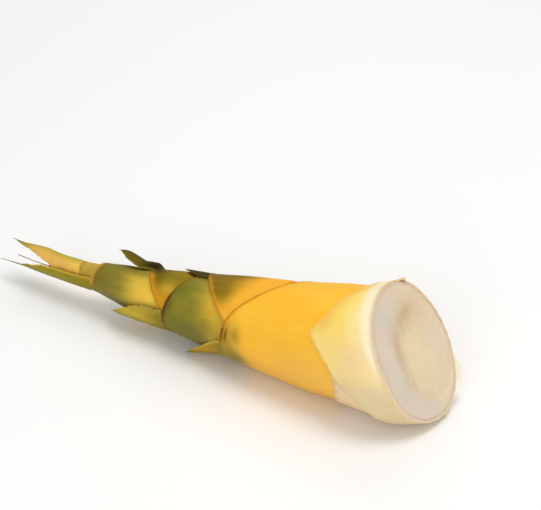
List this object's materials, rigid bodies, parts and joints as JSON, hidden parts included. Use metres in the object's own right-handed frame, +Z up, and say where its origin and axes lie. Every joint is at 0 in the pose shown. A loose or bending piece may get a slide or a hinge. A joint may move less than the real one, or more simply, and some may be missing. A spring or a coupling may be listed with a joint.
{
  "type": "bamboo shoot",
  "caption": "Fresh bamboo shoot cut from its stem: solid flesh wrapped in overlapping pointed leaf sheaths, lying on its side with the cut face showing.",
  "frame": {"origin": "on the surface the shoot lies on, under the middle of its bounding box", "axes": "+Z up, +X toward the cut end, -X toward the tip; the shoot lies along X"},
  "size_m": [0.3194, 0.0786, 0.0802],
  "materials": {
    "flesh": "moist cut flesh",
    "base_sheath": "satin skin",
    "pale_sheath": "satin skin",
    "yellow_sheath": "satin skin",
    "amber_sheath": "satin skin",
    "green_sheath": "satin skin",
    "olive_sheath": "satin skin",
    "tip_sheath": "satin skin",
    "tan_sheath": "satin skin",
    "heart_leaf": "dry leaf"
  },
  "bodies": {
    "root": {"flesh": "flesh", "sheath_1": "base_sheath", "sheath_2": "pale_sheath", "sheath_3": "yellow_sheath", "sheath_4": "amber_sheath", "sheath_5": "green_sheath", "sheath_6": "olive_sheath", "sheath_7": "tip_sheath", "sheath_8": "tan_sheath", "heart_leaf": "heart_leaf"}
  },
  "joints": []
}
